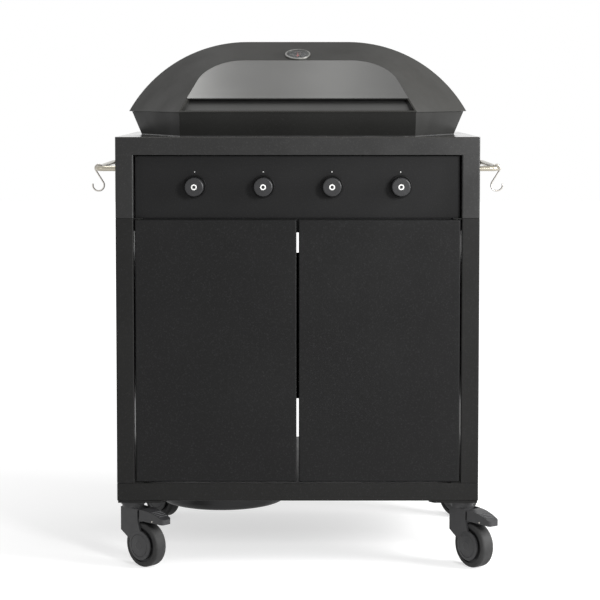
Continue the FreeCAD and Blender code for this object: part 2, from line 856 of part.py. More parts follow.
def ridge_wire(inset, drop):
    """Arch over the middle of the lid, drawn in and carried below the lid's rim."""
    radius = ridge_radius - inset
    centre_z = lid_rim + lid_height - ridge_radius
    low = math.asin((lid_rim - drop - centre_z) / radius)
    split = math.pi / 2 - ridge_split * (math.pi / 2 - low)

    def round_part(angle, side):
        x = ridge_flat + radius * math.cos(angle)
        return V(side * x, middle, centre_z + radius * math.sin(angle))

    angles = [low, (low + split) / 2, split, (split + math.pi / 2) / 2, math.pi / 2]
    right = [round_part(angle, 1) for angle in angles]
    left = [round_part(angle, -1) for angle in angles]
    edges = [
        Part.Arc(right[0], right[1], right[2]),
        Part.Arc(right[2], right[3], right[4]),
        Part.LineSegment(right[4], left[4]),
        Part.Arc(left[4], left[3], left[2]),
        Part.Arc(left[2], left[1], left[0]),
        Part.LineSegment(left[0], right[0]),
    ]
    return Part.Wire([edge.toShape() for edge in edges])


def lid_half(inset, sunk, drop):
    """Front half of the lid's form: the leaning face joined to the middle arch by ruled surfaces."""
    return Part.makeLoft([ridge_wire(inset, drop), arch_wire(inset, sunk, drop)], True, True)


def to_rear(shape):
    """The same form on the rear half of the lid."""
    return shape.mirror(V(0, middle, 0), V(0, 1, 0))


def leaning_slab(low, high, half, sunk_from, sunk_to):
    """Block square to the leaning face, between two levels up it and two depths into it."""
    corners = [arch_point(-half, low, sunk_from), arch_point(half, low, sunk_from)]
    corners += [arch_point(half, high, sunk_from), arch_point(-half, high, sunk_from)]
    return prism(corners, arch_point(0, low, sunk_to).sub(arch_point(0, low, sunk_from)))


def grip_form(grow):
    """Space of the finger recess under the front panel, grown by a sheet's thickness."""
    low, high = arch_point(0, grip_low), arch_point(0, grip_high)
    lean = math.hypot(high.z - low.z, high.y + grip_depth_high - low.y - grip_depth_low) / (high.z - low.z)
    ahead = grip_depth_low
    profile = [
        V(0, low.y - ahead, low.z - grow),
        V(0, low.y + grip_depth_low + grow * lean, low.z - grow),
        V(0, high.y + grip_depth_high + grow * lean, high.z + grow),
        V(0, high.y - ahead, high.z + grow),
    ]
    cut = prism([point - V(arch_foot, 0, 0) for point in profile], V(2 * arch_foot, 0, 0))
    outer, inner = -grip_depth_low, grip_depth_low
    ends = []
    for up in (grip_low - grip_depth_low, grip_high + grip_depth_low):
        half = arch_half(up) - grip_margin + grow
        ends.append((half, up))
    corners = [arch_point(-ends[0][0], ends[0][1], outer), arch_point(ends[0][0], ends[0][1], outer)]
    corners += [arch_point(ends[1][0], ends[1][1], outer), arch_point(-ends[1][0], ends[1][1], outer)]
    wedge = prism(corners, arch_point(0, 0, inner).sub(arch_point(0, 0, outer)))
    return cut.common(wedge)


def panel_form(inset, sunk_from, sunk_to, low):
    """Slice of the arch above a level, between two depths into the leaning face."""
    face = Part.Face(arch_wire(inset, 0, 0))
    face.translate(arch_point(0, 0, sunk_from).sub(arch_point(0, 0)))
    body = face.extrude(arch_point(0, 0, sunk_to).sub(arch_point(0, 0, sunk_from)))
    return body.cut(leaning_slab(-arch_length, low, 2 * arch_foot, sunk_from - cut_past, sunk_to + cut_past))


def gauge_point(out):
    """Point on the thermometer's axis, so far out from the lid's upper facet."""
    top = arch_point(0, arch_length)
    rise = math.atan2(lid_rim + lid_height - top.z, middle - top.y)
    along = V(0, math.cos(rise), math.sin(rise))
    normal = V(0, -math.sin(rise), math.cos(rise))
    return top + along * gauge_from_panel + normal * out


def gauge_rod(low, high, radius):
    """Round bar on the thermometer's axis."""
    return rod(gauge_point(low), gauge_point(high), radius)


def lid_shell():
    """Hollow lid of two mirrored halves, with a pocket for the front panel and an opening for the grip."""
    outer = fuse(lid_half(0, 0, 0), to_rear(lid_half(0, 0, 0)))
    below = lid_sheet
    front_room = lid_half(lid_sheet, front_panel_pocket + lid_sheet, below)
    rear_room = to_rear(lid_half(lid_sheet, lid_sheet, below))
    shell = outer.cut(front_room).cut(rear_room)
    shell = shell.cut(panel_form(0, -lid_sheet, front_panel_pocket, front_panel_low - front_panel_gap))
    shell = shell.cut(grip_form(0))
    return shell.cut(gauge_rod(-gauge_probe_length, gauge_height, gauge_cup + hole_play))


def front_panel():
    """Flat plate let into the leaning face, whose lower edge overhangs the finger recess."""
    return panel_form(front_panel_gap, -front_panel_proud, front_panel_pocket, front_panel_low)


def lid_grip():
    """Folded channel behind the lid's front that closes the finger recess."""
    channel = grip_form(grip_sheet).cut(grip_form(0))
    wall_inside = front_panel_pocket + lid_sheet
    behind = leaning_slab(-arch_length, arch_length, 2 * arch_foot, wall_inside, arch_length)
    return channel.common(behind)


def hinge_bracket():
    """Right-hand bracket on the worktop: a foot, an upright ear and a headed pin."""
    left = hinge_place
    foot_x = (left - hinge_foot_half, left + hinge_ear)
    foot_y = (hinge_axis.y - hinge_foot_depth, hinge_axis.y + hinge_foot_depth)
    foot = block(foot_x, foot_y, (worktop_height, worktop_height + hinge_foot_thick))
    ear_y = (hinge_axis.y - hinge_ear_radius, hinge_axis.y + hinge_ear_radius)
    ear = block((left, left + hinge_ear), ear_y, (worktop_height, hinge_axis.z))
    eye = rod(hinge_point(left), hinge_point(left + hinge_ear), hinge_ear_radius)
    pin_end = left + 2 * hinge_ear + 2 * face_gap
    pin = rod(hinge_point(left), hinge_point(pin_end), hinge_pin)
    head = rod(hinge_point(pin_end), hinge_point(pin_end + hinge_head), hinge_head_radius)
    return fuse(foot, ear, eye, pin, head)


def hinge_point(x):
    """Point on the lid's hinge axis."""
    return V(x, hinge_axis.y, hinge_axis.z)


def hinge_arm():
    """Right-hand arm on the lid: a flat plate on the rear face that turns on the bracket's pin."""
    near = hinge_place + hinge_ear + face_gap
    seat = [arch_point(near, 0), arch_point(near, hinge_arm_length)]
    seat.append(arch_point(near, hinge_arm_length, -hinge_arm_width))
    seat = [V(p.x, frame_depth - p.y, p.z) for p in seat]
    outline = [seat[0], seat[1], seat[2], hinge_axis + V(near, 0, hinge_ear_radius)]
    outline.append(hinge_axis + V(near, -hinge_ear_radius, 0))
    arm = prism(outline, V(hinge_ear, 0, 0))
    eye = rod(hinge_point(near), hinge_point(near + hinge_ear), hinge_ear_radius)
    bore = rod(hinge_point(near), hinge_point(near + hinge_ear), hinge_pin + running_fit)
    return fuse(arm, eye).cut(bore)


def thermometer_case():
    """Cup let into the lid's upper facet, with a rim on the facet, a needle pin and a probe below."""
    case = gauge_rod(0, gauge_height, gauge_radius)
    top = gauge_point(gauge_height)
    rim = [edge for edge in case.Edges if edge.CenterOfMass.distanceToPoint(top) < same_place]
    case = case.makeFillet(gauge_edge, rim)
    seat = gauge_height - gauge_glass - gauge_glass_sink
    window = gauge_radius - gauge_bezel
    dial = gauge_height - gauge_dial_depth
    under = dial - gauge_cup_wall
    case = fuse(case, gauge_rod(under, 0, gauge_cup))
    case = case.cut(gauge_rod(seat, gauge_height, window))
    case = case.cut(gauge_rod(dial, gauge_height, window - gauge_glass_seat))
    pin = gauge_rod(under, dial + needle_lift + needle_thick, gauge_pivot)
    probe = gauge_rod(-gauge_probe_length, under, gauge_probe)
    return fuse(case, pin, probe)


def thermometer_glass():
    """Flat glass on the step inside the case's rim."""
    seat = gauge_height - gauge_glass - gauge_glass_sink
    return gauge_rod(seat, seat + gauge_glass, gauge_radius - gauge_bezel - running_fit)


def thermometer_needle():
    """Pointer that turns on the pin in the middle of the dial."""
    low = gauge_height - gauge_dial_depth + needle_lift
    base = gauge_point(low)
    along = gauge_point(needle_thick).sub(gauge_point(0)).normalize()
    right = V(1, 0, 0)
    up = along.cross(right)
    tip, tail = base + up * needle_length, base - up * needle_tail
    outline = [tail - right * needle_width, tail + right * needle_width]
    outline += [tip + right * needle_width / 4, tip - right * needle_width / 4]
    hub = gauge_rod(low, low + needle_thick, needle_hub)
    needle = fuse(prism(outline, along * needle_thick), hub)
    return needle.cut(gauge_rod(low, low + needle_thick, gauge_pivot + running_fit))


def caster_place(side, rear):
    """Swivel axis of one caster at floor level."""
    x = side * (half_width - caster_inset_x)
    return V(x, frame_depth - caster_inset_y if rear else caster_inset_y, 0)


def corner_plate(side, rear):
    """Plate under one corner of the bottom rails, with a hole for the swivel pin."""
    high = half_width - caster_plate_inset
    y = (caster_plate_inset, caster_plate)
    plate = block((half_width - caster_plate, high), y, (plate_underside, rail_underside))
    plate = plate.makeChamfer(caster_plate_corner, edges_along(plate, V(0, 0, 1))[:1])
    at = caster_place(1, False) + V(0, 0, plate_underside)
    plate = plate.cut(Part.makeCylinder(swivel_pin + running_fit, caster_plate_thick, at))
    if rear:
        plate = to_rear(plate)
    return plate if side > 0 else mirrored(plate)


def set_caster(shape, side, rear):
    """Turn a piece that was made trailing along X and put it under its corner."""
    placed = shape.copy()
    angle = right_caster_angle if side > 0 and not rear else caster_angle
    placed.rotate(V(0, 0, 0), V(0, 0, 1), -angle)
    placed.translate(caster_place(side, rear))
    return placed


def fork(braked):
    """Swivel fork with its collar and pin, and the bored ears of the brake pedal on a braked caster."""
    crown_bottom = 2 * wheel_radius + fork_crown_gap
    top = fork_top
    collar_bottom_z = top - collar_thick
    race = Part.makeCylinder(race_radius, race_thick, V(0, 0, collar_bottom_z))
    race_top = collar_bottom_z + race_thick
    collar_ring = Part.makeCylinder(collar_radius, top - race_top, V(0, 0, race_top))
    pin = Part.makeCylinder(swivel_pin, caster_plate_thick, V(0, 0, top))
    inner = wheel_width / 2 + fork_play
    outer = inner + fork_cheek
    neck = Part.makeCylinder(outer, collar_bottom_z - crown_bottom, V(0, 0, crown_bottom))
    crown_end = pedal_hinge.x - pedal_barrel - pedal_room
    crown = block((0, crown_end), (-outer, outer), (crown_bottom, collar_bottom_z))
    cheek = fork_cheek_outline(crown_bottom, collar_bottom_z)
    cheeks = []
    for y in (inner, -outer):
        plate = prism([point + V(0, y, 0) for point in cheek], V(0, fork_cheek, 0))
        boss = rod(V(caster_trail, y, wheel_radius), V(caster_trail, y + fork_cheek, wheel_radius), fork_boss)
        cheeks.append(plate.fuse(boss))
    body = fuse(crown, neck, race, collar_ring, pin, *cheeks)
    body = body.cut(axle_rod(outer, axle_radius + running_fit))
    if braked:
        bore_start = pedal_hinge - V(0, outer, 0)
        body = body.cut(rod(bore_start, pedal_hinge + V(0, outer, 0), pedal_pivot + running_fit))
    return body


def fork_cheek_outline(crown_bottom, crown_top):
    """Side view of one fork cheek, from the crown down to the axle."""
    return [
        V(-fork_reach, 0, crown_top),
        V(-fork_reach, 0, fork_knee),
        V(caster_trail - fork_boss, 0, wheel_radius),
        V(caster_trail + fork_boss, 0, wheel_radius),
        V(fork_front, 0, crown_bottom),
        V(fork_front, 0, crown_top),
    ]


def axle_rod(half, radius):
    """Bar across the fork on the wheel's axis."""
    return rod(V(caster_trail, -half, wheel_radius), V(caster_trail, half, wheel_radius), radius)


def axle():
    """Axle through fork and wheel, with a round head at each end."""
    outer = wheel_width / 2 + fork_play + fork_cheek
    heads = []
    for y in (outer, -outer - axle_head_thick):
        start = V(caster_trail, y, wheel_radius)
        heads.append(rod(start, start + V(0, axle_head_thick, 0), axle_head))
    return fuse(axle_rod(outer, axle_radius), *heads)


def wheel_disc(radius, half):
    """Disc on the wheel's axis, even about the middle of the wheel."""
    return rod(V(caster_trail, -half, wheel_radius), V(caster_trail, half, wheel_radius), radius)


def wheel():
    """Wheel core with a hub and a thin web, and the tyre round it."""
    half = wheel_width / 2
    core_radius = wheel_radius - tyre_thick
    core = wheel_disc(core_radius, half - tyre_round / 2)
    dished = wheel_disc(core_radius - tyre_round, half).cut(wheel_disc(hub_radius, half))
    dished = dished.cut(wheel_disc(core_radius, wheel_web / 2))
    core = fuse(core.cut(dished), wheel_disc(hub_radius, half))
    core = core.cut(wheel_disc(axle_radius + running_fit, half))
    tyre = wheel_disc(wheel_radius, half)
    tyre = tyre.makeFillet(tyre_round, tyre.Edges[:1] + tyre.Edges[2:])
    return [core, tyre.cut(wheel_disc(core_radius, half))]


def pedal():
    """Brake pedal: a ribbed hood over the wheel, on a barrel and pin between the fork cheeks."""
    inner = wheel_width / 2 + fork_play
    barrel_half = inner - face_gap
    barrel = rod(pedal_hinge - V(0, barrel_half, 0), pedal_hinge + V(0, barrel_half, 0), pedal_barrel)
    pin_half = inner + fork_cheek
    pin = rod(pedal_hinge - V(0, pin_half, 0), pedal_hinge + V(0, pin_half, 0), pedal_pivot)
    neck_height = (pedal_hinge.z - pedal_barrel, pedal_hinge.z + pedal_barrel)
    neck = block((pedal_hinge.x, pedal_root + cut_past), (-barrel_half, barrel_half), neck_height)
    run = pedal_tip - pedal_root
    bow = (run * run + pedal_fall * pedal_fall) / (2 * pedal_fall)
    top = fork_top - collar_thick

    def crest(x):
        return top - bow + math.sqrt(bow * bow - (x - pedal_root) ** 2)

    halfway = (pedal_root + pedal_tip) / 2
    low_tip = crest(pedal_tip) - pedal_thick
    low_root = 2 * wheel_radius + pedal_under
    depth = V(0, -pedal_root_half, 0)
    high = [V(x, 0, crest(x)) + depth for x in (pedal_root, halfway, pedal_tip)]
    low = [V(pedal_tip, 0, low_tip) + depth, V(pedal_root, 0, low_root) + depth]
    outline = [
        Part.Arc(*high),
        Part.LineSegment(high[2], low[0]),
        Part.LineSegment(low[0], low[1]),
        Part.LineSegment(low[1], high[0]),
    ]
    side_face = Part.Face(Part.Wire([edge.toShape() for edge in outline]))
    plan = [V(pedal_root, -pedal_root_half, low_tip), V(pedal_tip, -pedal_half_width, low_tip)]
    plan += [V(pedal_tip, pedal_half_width, low_tip), V(pedal_root, pedal_root_half, low_tip)]
    hood = side_face.extrude(depth * -2).common(prism(plan, V(0, 0, top - low_tip)))
    hood = hood.makeFillet(pedal_round, edges_at_tip(hood))
    ribs = []
    step = run / (2 * pedal_ribs + 2)
    for i in range(pedal_ribs):
        x = pedal_tip - step * (i + 2)
        half = pedal_half_width + (pedal_root_half - pedal_half_width) * (pedal_tip - x) / run - 2 * pedal_rib
        ribs.append(rod(V(x, -half, crest(x)), V(x, half, crest(x)), pedal_rib))
    return fuse(hood, neck, barrel, pin, *ribs)


def edges_at_tip(tread):
    """Upright edges at the free end of the pedal."""
    return [edge for edge in edges_along(tread, V(0, 0, 1)) if edge.BoundBox.XMin > pedal_tip - same_place]


os.makedirs("parts", exist_ok=True)

# Cart frame and cabinet
keep("base_rails", *rail_ring(rail_underside, rail_top, True))
keep("lower_posts", *posts(rail_top, seam_height, (rail_top, seam_height)))
keep("upper_posts", *posts(seam_height, top_bar_bottom, (seam_height,)))
keep("top_rails", *rail_ring(top_bar_bottom, worktop_height - worktop_sheet, False))
keep("worktop", worktop())
keep("cabinet_floor", cabinet_floor())
keep("bottle_dish", bottle_dish())
keep("side_panel_right", side_panel())
keep("side_panel_left", mirrored(side_panel()))
keep("back_panel", rear_sheet((rail_top + vent_low, vent_high_top - vent_high)))
keep("rear_apron", rear_apron())
keep("control_panel", control_panel())
keep("cross_rail", cross_rail())

# Doors
keep("door_right", right_door())
keep("door_left", mirrored(right_door()))
keep("door_pivots", *right_pivots(), *[mirrored(piece) for piece in right_pivots()])
keep("door_catches", right_catch(), mirrored(right_catch()))

# Side bars and hooks
keep("side_bar_right", side_bar())
keep("side_bar_left", mirrored(side_bar()))
keep("bar_screws", *bar_screws(), *[mirrored(screw) for screw in bar_screws()])
keep("hook_right", hook())
keep("hook_left", mirrored(hook()))

# Firebox, burners and gas
keep("firebox", firebox())
keep("collar", collar())
keep("burners", *[burner(x) for x in knob_places])
keep("heat_tents", *[heat_tent(x) for x in knob_places])
keep("cooking_grates", *grates())
keep("gas_manifold", manifold())
keep("gas_inlet", inlet_fitting())
keep("gas_valves", *[valve(x) for x in knob_places])
keep("knob_bezels", *[bezel(x) for x in knob_places])
for number, x in enumerate(knob_places, 1):
    keep("valve_stem_" + str(number), valve_stem(x))
    keep("knob_" + str(number), knob(x))
keep("drip_tray", drip_tray())
keep("tray_runners", tray_runner(), mirrored(tray_runner()))

# Lid and thermometer
keep("lid_shell", lid_shell())
keep("lid_front_panel", front_panel())
keep("lid_grip", lid_grip())
keep("lid_hinge_brackets", hinge_bracket(), mirrored(hinge_bracket()))
keep("lid_hinge_arms", hinge_arm(), mirrored(hinge_arm()))
keep("thermometer_case", thermometer_case())
keep("thermometer_glass", thermometer_glass())
keep("thermometer_needle", thermometer_needle())

# Casters
corners = {
    "front_left": (-1, False),
    "front_right": (1, False),
    "rear_left": (-1, True),
    "rear_right": (1, True),
}
keep("caster_plates", *[corner_plate(*corner) for corner in corners.values()])
for name, (side, rear) in corners.items():
    keep("fork_" + name, *[set_caster(piece, side, rear) for piece in (fork(not rear), axle())])
    keep("wheel_" + name, *[set_caster(piece, side, rear) for piece in wheel()])
    if not rear:
        keep("pedal_" + name, set_caster(pedal(), side, rear))
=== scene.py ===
import json
import math

import bmesh
import bpy
from mathutils import Matrix, Vector


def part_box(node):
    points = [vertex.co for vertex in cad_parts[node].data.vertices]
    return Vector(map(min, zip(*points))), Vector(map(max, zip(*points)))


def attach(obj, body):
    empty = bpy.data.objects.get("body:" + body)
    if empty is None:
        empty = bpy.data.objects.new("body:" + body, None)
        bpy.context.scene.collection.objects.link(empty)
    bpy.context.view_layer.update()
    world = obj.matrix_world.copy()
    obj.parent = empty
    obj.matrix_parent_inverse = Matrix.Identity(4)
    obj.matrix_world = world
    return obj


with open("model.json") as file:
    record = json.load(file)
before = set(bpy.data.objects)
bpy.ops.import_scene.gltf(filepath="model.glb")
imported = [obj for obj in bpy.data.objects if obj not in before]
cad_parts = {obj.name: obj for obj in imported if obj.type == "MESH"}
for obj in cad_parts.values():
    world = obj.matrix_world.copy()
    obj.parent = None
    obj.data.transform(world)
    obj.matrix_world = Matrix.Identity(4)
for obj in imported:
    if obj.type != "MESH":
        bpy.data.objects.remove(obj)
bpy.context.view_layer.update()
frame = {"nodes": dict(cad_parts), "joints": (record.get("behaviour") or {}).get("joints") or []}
nodes = frame["nodes"]

# Cart frame: two mitred rings of square steel tube, with posts between them and a plate on top.
# The tubes are welded, ground and powder coated satin black, and their edges are painted paler,
# partly as a thinner coat and partly as a painted highlight.
# The upper ring and posts are glossier than the lower frame, and the plate is smoother still.


def new_finish(name):
    """An empty principled material, its node tree and its shader."""
    material = bpy.data.materials.new(name)
    material.use_nodes = True
    tree = material.node_tree
    return material, tree, tree.nodes["Principled BSDF"]


def grain(tree, scale, detail=3.0, stretch=(1.0, 1.0, 1.0)):
    """Noise fixed to the piece, with its scale in grains to the metre."""
    place = tree.nodes.new("ShaderNodeTexCoord")
    mapping = tree.nodes.new("ShaderNodeMapping")
    mapping.inputs["Scale"].default_value = stretch
    noise = tree.nodes.new("ShaderNodeTexNoise")
    noise.inputs["Scale"].default_value = scale
    noise.inputs["Detail"].default_value = detail
    tree.links.new(place.outputs["Object"], mapping.inputs["Vector"])
    tree.links.new(mapping.outputs["Vector"], noise.inputs["Vector"])
    return noise.outputs["Fac"]


def spread(tree, value, low=0.0, high=1.0, start=0.3, end=0.7):
    """A number that goes from low to high as a value goes from start to end."""
    ramp = tree.nodes.new("ShaderNodeMapRange")
    ramp.inputs["From Min"].default_value = start
    ramp.inputs["From Max"].default_value = end
    ramp.inputs["To Min"].default_value = low
    ramp.inputs["To Max"].default_value = high
    tree.links.new(value, ramp.inputs["Value"])
    return ramp.outputs["Result"]


def shade(tone, share):
    """A tone made darker or paler by a share."""
    return tuple(min(1.0, share * part) for part in tone)


def blend_colours(tree, value, first, second):
    """A colour between two, each of them a plain colour or another node's output."""
    mix = tree.nodes.new("ShaderNodeMix")
    mix.data_type = "RGBA"
    tree.links.new(value, mix.inputs["Factor"])
    for socket, colour in (("A", first), ("B", second)):
        target = [s for s in mix.inputs if s.name == socket and s.type == "RGBA"][0]
        if isinstance(colour, tuple):
            target.default_value = (*colour, 1.0)
        else:
            tree.links.new(colour, target)
    return [s for s in mix.outputs if s.type == "RGBA"][0]


def tint(tree, shader, value, first, second):
    """Surface colour between two, from a value of 0 to 1."""
    tree.links.new(blend_colours(tree, value, first, second), shader.inputs["Base Color"])


def dull(tree, shader, value, low, high):
    """Roughness between two limits, from a noise value."""
    tree.links.new(spread(tree, value, low, high), shader.inputs["Roughness"])


def roughen(tree, shader, value, depth, strength, normal=None):
    """Fine relief on a surface, so many metres deep."""
    bump = tree.nodes.new("ShaderNodeBump")
    bump.inputs["Distance"].default_value = depth
    bump.inputs["Strength"].default_value = strength
    tree.links.new(value, bump.inputs["Height"])
    if normal is not None:
        tree.links.new(normal, bump.inputs["Normal"])
    tree.links.new(bump.outputs["Normal"], shader.inputs["Normal"])


def edge_highlight_and_wear(tree, radius):
    """The rounded normal near sharp edges, and a mask that is 1 on them, for edges painted paler as
    wear and as painted highlight.
    """
    bevel = tree.nodes.new("ShaderNodeBevel")
    bevel.samples = 4
    bevel.inputs["Radius"].default_value = radius
    surface = tree.nodes.new("ShaderNodeNewGeometry")
    dot = tree.nodes.new("ShaderNodeVectorMath")
    dot.operation = "DOT_PRODUCT"
    tree.links.new(bevel.outputs["Normal"], dot.inputs[0])
    tree.links.new(surface.outputs["True Normal"], dot.inputs[1])
    mask = spread(tree, dot.outputs["Value"], low=1.0, high=0.0, start=0.75, end=0.98)
    return bevel.outputs["Normal"], mask


def powder_coat(name, tone, wear_and_highlight_tone, roughness, gloss, peel=0.35):
    """Satin powder coat: fine orange peel, cloudy sheen, and edges painted paler as wear and as a
    painted highlight.
    """
    edge_radius, peel_depth = 0.0011, 0.00006
    material, tree, shader = new_finish(name)
    normal, worn_and_highlit = edge_highlight_and_wear(tree, edge_radius)
    cloud = spread(tree, grain(tree, scale=5.0))
    body = blend_colours(tree, cloud, shade(tone, 0.82), tone)
    speck = spread(tree, grain(tree, scale=380.0, detail=1.0), high=0.5, start=0.55, end=0.8)
    body = blend_colours(tree, speck, body, wear_and_highlight_tone)
    # Edges are painted paler: partly the coat worn thin, partly a painted highlight along each
    # edge.
    tint(tree, shader, worn_and_highlit, body, wear_and_highlight_tone)
    dull(tree, shader, grain(tree, scale=14.0), roughness - 0.04, roughness + 0.05)
    shader.inputs["Specular IOR Level"].default_value = gloss
    roughen(tree, shader, grain(tree, scale=900.0, detail=2.0), peel_depth, peel, normal)
    return material


def paint(finish, *names):
    """Give CAD pieces a finish."""
    for name in names:
        piece = nodes[name]
        piece.data.materials.clear()
        piece.data.materials.append(finish)


# Each coat's second tone is its paler edge colour: worn coat and painted highlight together.
frame_tone, frame_wear_and_highlight = (0.0115, 0.0114, 0.011), (0.03, 0.03, 0.03)
frame_black = powder_coat("frame_powder_coat", frame_tone, frame_wear_and_highlight, roughness=0.38, gloss=0.13)
paint(frame_black, "base_rails", "lower_posts")
upper_tone, upper_wear_and_highlight = (0.0125, 0.0124, 0.0122), (0.04, 0.04, 0.04)
upper_black = powder_coat("upper_frame_coat", upper_tone, upper_wear_and_highlight, roughness=0.35, gloss=0.28)
paint(upper_black, "upper_posts", "top_rails")
plate_tone, plate_wear_and_highlight = (0.026, 0.025, 0.022), (0.045, 0.045, 0.046)
plate_black = powder_coat(
    "worktop_powder_coat", plate_tone, plate_wear_and_highlight, roughness=0.1, gloss=0.4, peel=0.05
)
paint(plate_black, "worktop")

# Cabinet: folded sheet between the tubes, with a control panel set back in front and vents behind.
# The sheets are powder coated like the tubes, with less gloss than the tubes at the top.
sheet_tone, sheet_wear_and_highlight = (0.0105, 0.0105, 0.0107), (0.03, 0.03, 0.031)
sheet_black = powder_coat("sheet_powder_coat", sheet_tone, sheet_wear_and_highlight, roughness=0.4, gloss=0.12)
paint(sheet_black, "cabinet_floor", "side_panel_right", "side_panel_left")
paint(sheet_black, "back_panel", "rear_apron", "control_panel", "cross_rail")

# Bottle dish: a deep-drawn steel dish hung in the cabinet floor, powder coated before it is fitted.
# Drawing leaves rings around its axis that show through the coat.


def middle_of(box):
    """The middle of a box that is given by its two corners."""
    low, high = box
    return (low + high) / 2


def vector_step(tree, operation, value, other=None):
    """One step of vector arithmetic on a node's output."""
    step = tree.nodes.new("ShaderNodeVectorMath")
    step.operation = operation
    tree.links.new(value, step.inputs[0])
    if other is not None:
        step.inputs[1].default_value = other
    return step


def drawn_rings(name, centre, tone, paler, pitch):
    """Powder coat over the fine rings of a drawn dish."""
    level = (1.0, 1.0, 0.0)
    material, tree, shader = new_finish(name)
    place = tree.nodes.new("ShaderNodeTexCoord").outputs["Object"]
    offset = vector_step(tree, "SUBTRACT", place, centre).outputs["Vector"]
    across = vector_step(tree, "MULTIPLY", offset, level).outputs["Vector"]
    reach = vector_step(tree, "LENGTH", across).outputs["Value"]
    wave = tree.nodes.new("ShaderNodeMath")
    wave.operation = "PINGPONG"
    wave.inputs[1].default_value = pitch
    tree.links.new(reach, wave.inputs[0])
    ring = spread(tree, wave.outputs["Value"], start=0.0, end=pitch)
    tint(tree, shader, spread(tree, grain(tree, scale=9.0)), tone, paler)
    dull(tree, shader, grain(tree, scale=20.0), low=0.36, high=0.48)
    shader.inputs["Specular IOR Level"].default_value = 0.3
    roughen(tree, shader, ring, depth=0.00015, strength=0.25)
    return material


ring_pitch = 0.004
dish_middle = middle_of(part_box("bottle_dish"))
dish_tone, dish_paler = (0.022, 0.022, 0.023), (0.032, 0.032, 0.033)
dish_black = drawn_rings("dish_coat", dish_middle, dish_tone, dish_paler, ring_pitch)
paint(dish_black, "bottle_dish")

# Doors: folded sheet pans hung on pivot pins, held shut by magnets on the cross rail.
# Doors and pivots are powder coated like the cart, and the magnets sit in black plastic.


def moulded_plastic(name, tone, roughness, gloss=0.4):
    """Black moulded plastic with a fine spark-eroded grain."""
    material, tree, shader = new_finish(name)
    tint(tree, shader, spread(tree, grain(tree, scale=60.0)), tone, shade(tone, 1.35))
    dull(tree, shader, grain(tree, scale=300.0), roughness - 0.05, roughness + 0.07)
    shader.inputs["Specular IOR Level"].default_value = gloss
    roughen(tree, shader, grain(tree, scale=1600.0, detail=1.0), depth=0.00005, strength=0.3)
    return material


door_tone, door_wear_and_highlight = (0.0098, 0.0098, 0.0099), (0.03, 0.03, 0.031)
door_black = powder_coat("door_powder_coat", door_tone, door_wear_and_highlight, roughness=0.38, gloss=0.11)
paint(door_black, "door_right", "door_left")
paint(frame_black, "door_pivots")
black_plastic = moulded_plastic("black_plastic", (0.018, 0.018, 0.019), roughness=0.45)
paint(black_plastic, "door_catches")

# Side bars: bent stainless rod on each side, screwed from inside the side panel, with a loose hook.
# The rod is ground along its length, and the hooks are bright drawn wire.


def ground_steel(name, tone, roughness, stretch):
    """Stainless steel ground along one direction."""
    material, tree, shader = new_finish(name)
    line = grain(tree, scale=90.0, detail=4.0, stretch=stretch)
    tint(tree, shader, spread(tree, line), tone, shade(tone, 1.18))
    dull(tree, shader, line, roughness - 0.06, roughness + 0.08)
    shader.inputs["Metallic"].default_value = 1.0
    roughen(tree, shader, line, depth=0.00003, strength=0.25)
    return material


along_depth, along_height = (12.0, 0.4, 12.0), (8.0, 8.0, 2.0)
bar_steel = ground_steel("ground_bar", (0.34, 0.315, 0.26), 0.24, along_depth)
hook_steel = ground_steel("drawn_wire", (0.42, 0.40, 0.37), 0.2, along_height)
paint(bar_steel, "side_bar_right", "side_bar_left")
paint(hook_steel, "hook_right", "hook_left", "bar_screws")

# Firebox: a deep enamelled tub hung in the worktop, with tube burners, heat tents and grates in it.
# The enamel is glossy black, the burners and tents are stainless, and the grates are cast iron.


def enamel(name, tone, soot_tone):
    """Glossy stove enamel, slightly wavy, with soot in soft patches."""
    material, tree, shader = new_finish(name)
    soot = spread(tree, grain(tree, scale=18.0, detail=4.0), start=0.45, end=0.7)
    tint(tree, shader, soot, tone, soot_tone)
    dull(tree, shader, grain(tree, scale=25.0), low=0.16, high=0.42)
    roughen(tree, shader, grain(tree, scale=120.0), depth=0.0001, strength=0.25)
    return material


def cast_iron(name, tone):
    """Sand-cast iron with a pebbly skin."""
    material, tree, shader = new_finish(name)
    skin = grain(tree, scale=420.0, detail=4.0)
    tint(tree, shader, spread(tree, skin), tone, shade(tone, 1.6))
    dull(tree, shader, grain(tree, scale=90.0), low=0.5, high=0.72)
    roughen(tree, shader, skin, depth=0.0004, strength=0.5)
    return material


along_width = (0.6, 6.0, 6.0)
heat_steel = ground_steel("heat_steel", (0.46, 0.43, 0.38), 0.34, along_width)
paint(enamel("tub_enamel", (0.016, 0.016, 0.017), (0.012, 0.011, 0.010)), "firebox")
paint(heat_steel, "burners", "heat_tents")
paint(cast_iron("cast_iron", (0.022, 0.022, 0.022)), "cooking_grates")

# Gas train: a zinc-plated steel pipe across the front, with a brass inlet nipple and brass valves.
# The valves are machined from bar and clamp on the pipe, and their bright stems reach the knobs.


def zinc_plate(name, tone):
    """Dull zinc plating with faint crystal patches."""
    material, tree, shader = new_finish(name)
    patch = spread(tree, grain(tree, scale=160.0, detail=4.0))
    tint(tree, shader, patch, tone, shade(tone, 1.25))
    dull(tree, shader, grain(tree, scale=240.0), low=0.34, high=0.5)
    shader.inputs["Metallic"].default_value = 1.0
    roughen(tree, shader, grain(tree, scale=700.0), depth=0.00004, strength=0.3)
    return material


